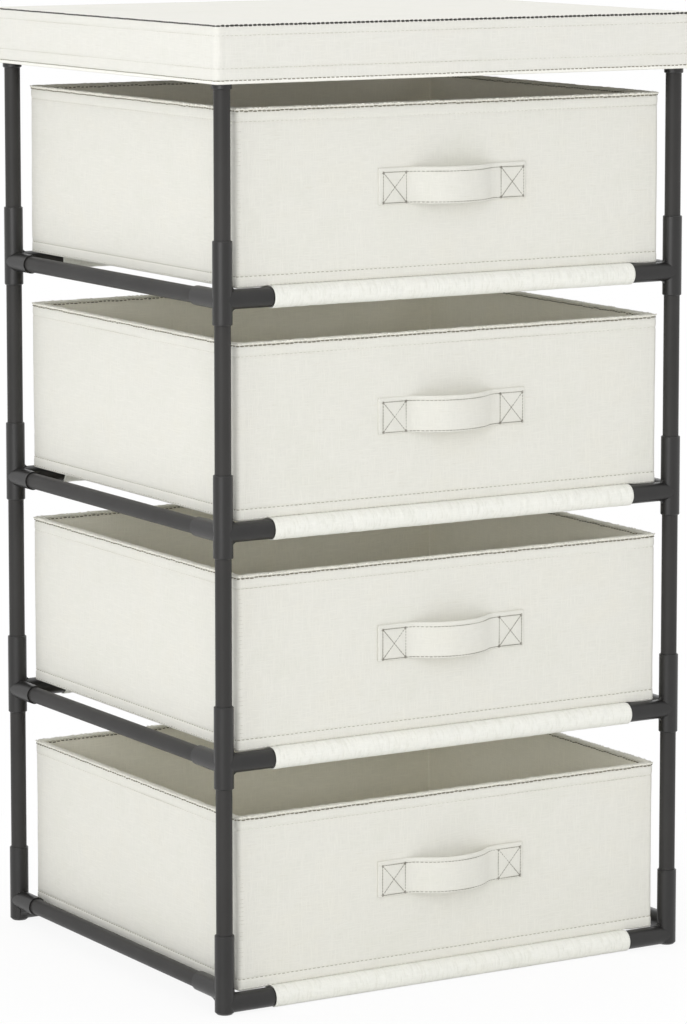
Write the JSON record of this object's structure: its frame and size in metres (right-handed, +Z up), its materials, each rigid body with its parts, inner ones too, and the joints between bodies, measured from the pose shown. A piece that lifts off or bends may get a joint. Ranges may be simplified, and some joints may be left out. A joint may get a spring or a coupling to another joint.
{
  "type": "basket storage unit",
  "caption": "Upright storage rack of dark steel tubes and plastic connectors, with cream fabric baskets that slide out on cloth shelves under a fabric-covered lid.",
  "frame": {"origin": "on the floor under the middle of the lid", "axes": "+X to the right along the front, +Y to the back, +Z up; the baskets slide out towards -Y"},
  "size_m": [0.41, 0.3484, 0.71],
  "materials": {
    "tube": "thin-walled steel tube, fine satin powder coat in dark grey",
    "connector": "moulded polypropylene, dark grey, satin with a faint fine grain",
    "fabric": "cream polyester and non-woven cloth with a fine dry texture and grey stitching",
    "board": "raw fibreboard, hidden inside the cloth"
  },
  "bodies": {
    "rack": {"foot_connectors_front": "connector", "foot_connectors_rear": "connector", "side_tubes_foot": "tube", "cross_tubes_foot": "tube", "lower_connectors_front": "connector", "lower_connectors_rear": "connector", "side_tubes_lower": "tube", "cross_tubes_lower": "tube", "middle_connectors_front": "connector", "middle_connectors_rear": "connector", "side_tubes_middle": "tube", "cross_tubes_middle": "tube", "upper_connectors_front": "connector", "upper_connectors_rear": "connector", "side_tubes_upper": "tube", "cross_tubes_upper": "tube", "top_connectors_front": "connector", "top_connectors_rear": "connector", "side_tubes_top": "tube", "cross_tubes_top": "tube", "post_tubes_tier_1": "tube", "cloth_shelf_1": "fabric", "post_tubes_tier_2": "tube", "cloth_shelf_2": "fabric", "post_tubes_tier_3": "tube", "cloth_shelf_3": "fabric", "post_tubes_tier_4": "tube", "cloth_shelf_4": "fabric"},
    "basket_1": {"basket_1_cover": "fabric", "basket_1_wall_boards": "board", "basket_1_base_board": "fabric", "basket_1_rim_binding": "fabric", "basket_1_handle": "fabric"},
    "basket_2": {"basket_2_cover": "fabric", "basket_2_wall_boards": "board", "basket_2_base_board": "fabric", "basket_2_rim_binding": "fabric", "basket_2_handle": "fabric"},
    "basket_3": {"basket_3_cover": "fabric", "basket_3_wall_boards": "board", "basket_3_base_board": "fabric", "basket_3_rim_binding": "fabric", "basket_3_handle": "fabric"},
    "basket_4": {"basket_4_cover": "fabric", "basket_4_wall_boards": "board", "basket_4_base_board": "fabric", "basket_4_rim_binding": "fabric", "basket_4_handle": "fabric"},
    "lid": {"lid_cover": "fabric", "lid_board": "board"}
  },
  "joints": [
    {"name": "basket_1_slide", "type": "slide", "parent": "rack", "child": "basket_1", "axis": [0, -1, 0], "range_m": [0, 0.25]},
    {"name": "basket_2_slide", "type": "slide", "parent": "rack", "child": "basket_2", "axis": [0, -1, 0], "range_m": [0, 0.25]},
    {"name": "basket_3_slide", "type": "slide", "parent": "rack", "child": "basket_3", "axis": [0, -1, 0], "range_m": [0, 0.25]},
    {"name": "basket_4_slide", "type": "slide", "parent": "rack", "child": "basket_4", "axis": [0, -1, 0], "range_m": [0, 0.25]},
    {"name": "lid_lift", "type": "slide", "parent": "rack", "child": "lid", "axis": [0, 0, 1], "range_m": [0, 0.06]}
  ]
}
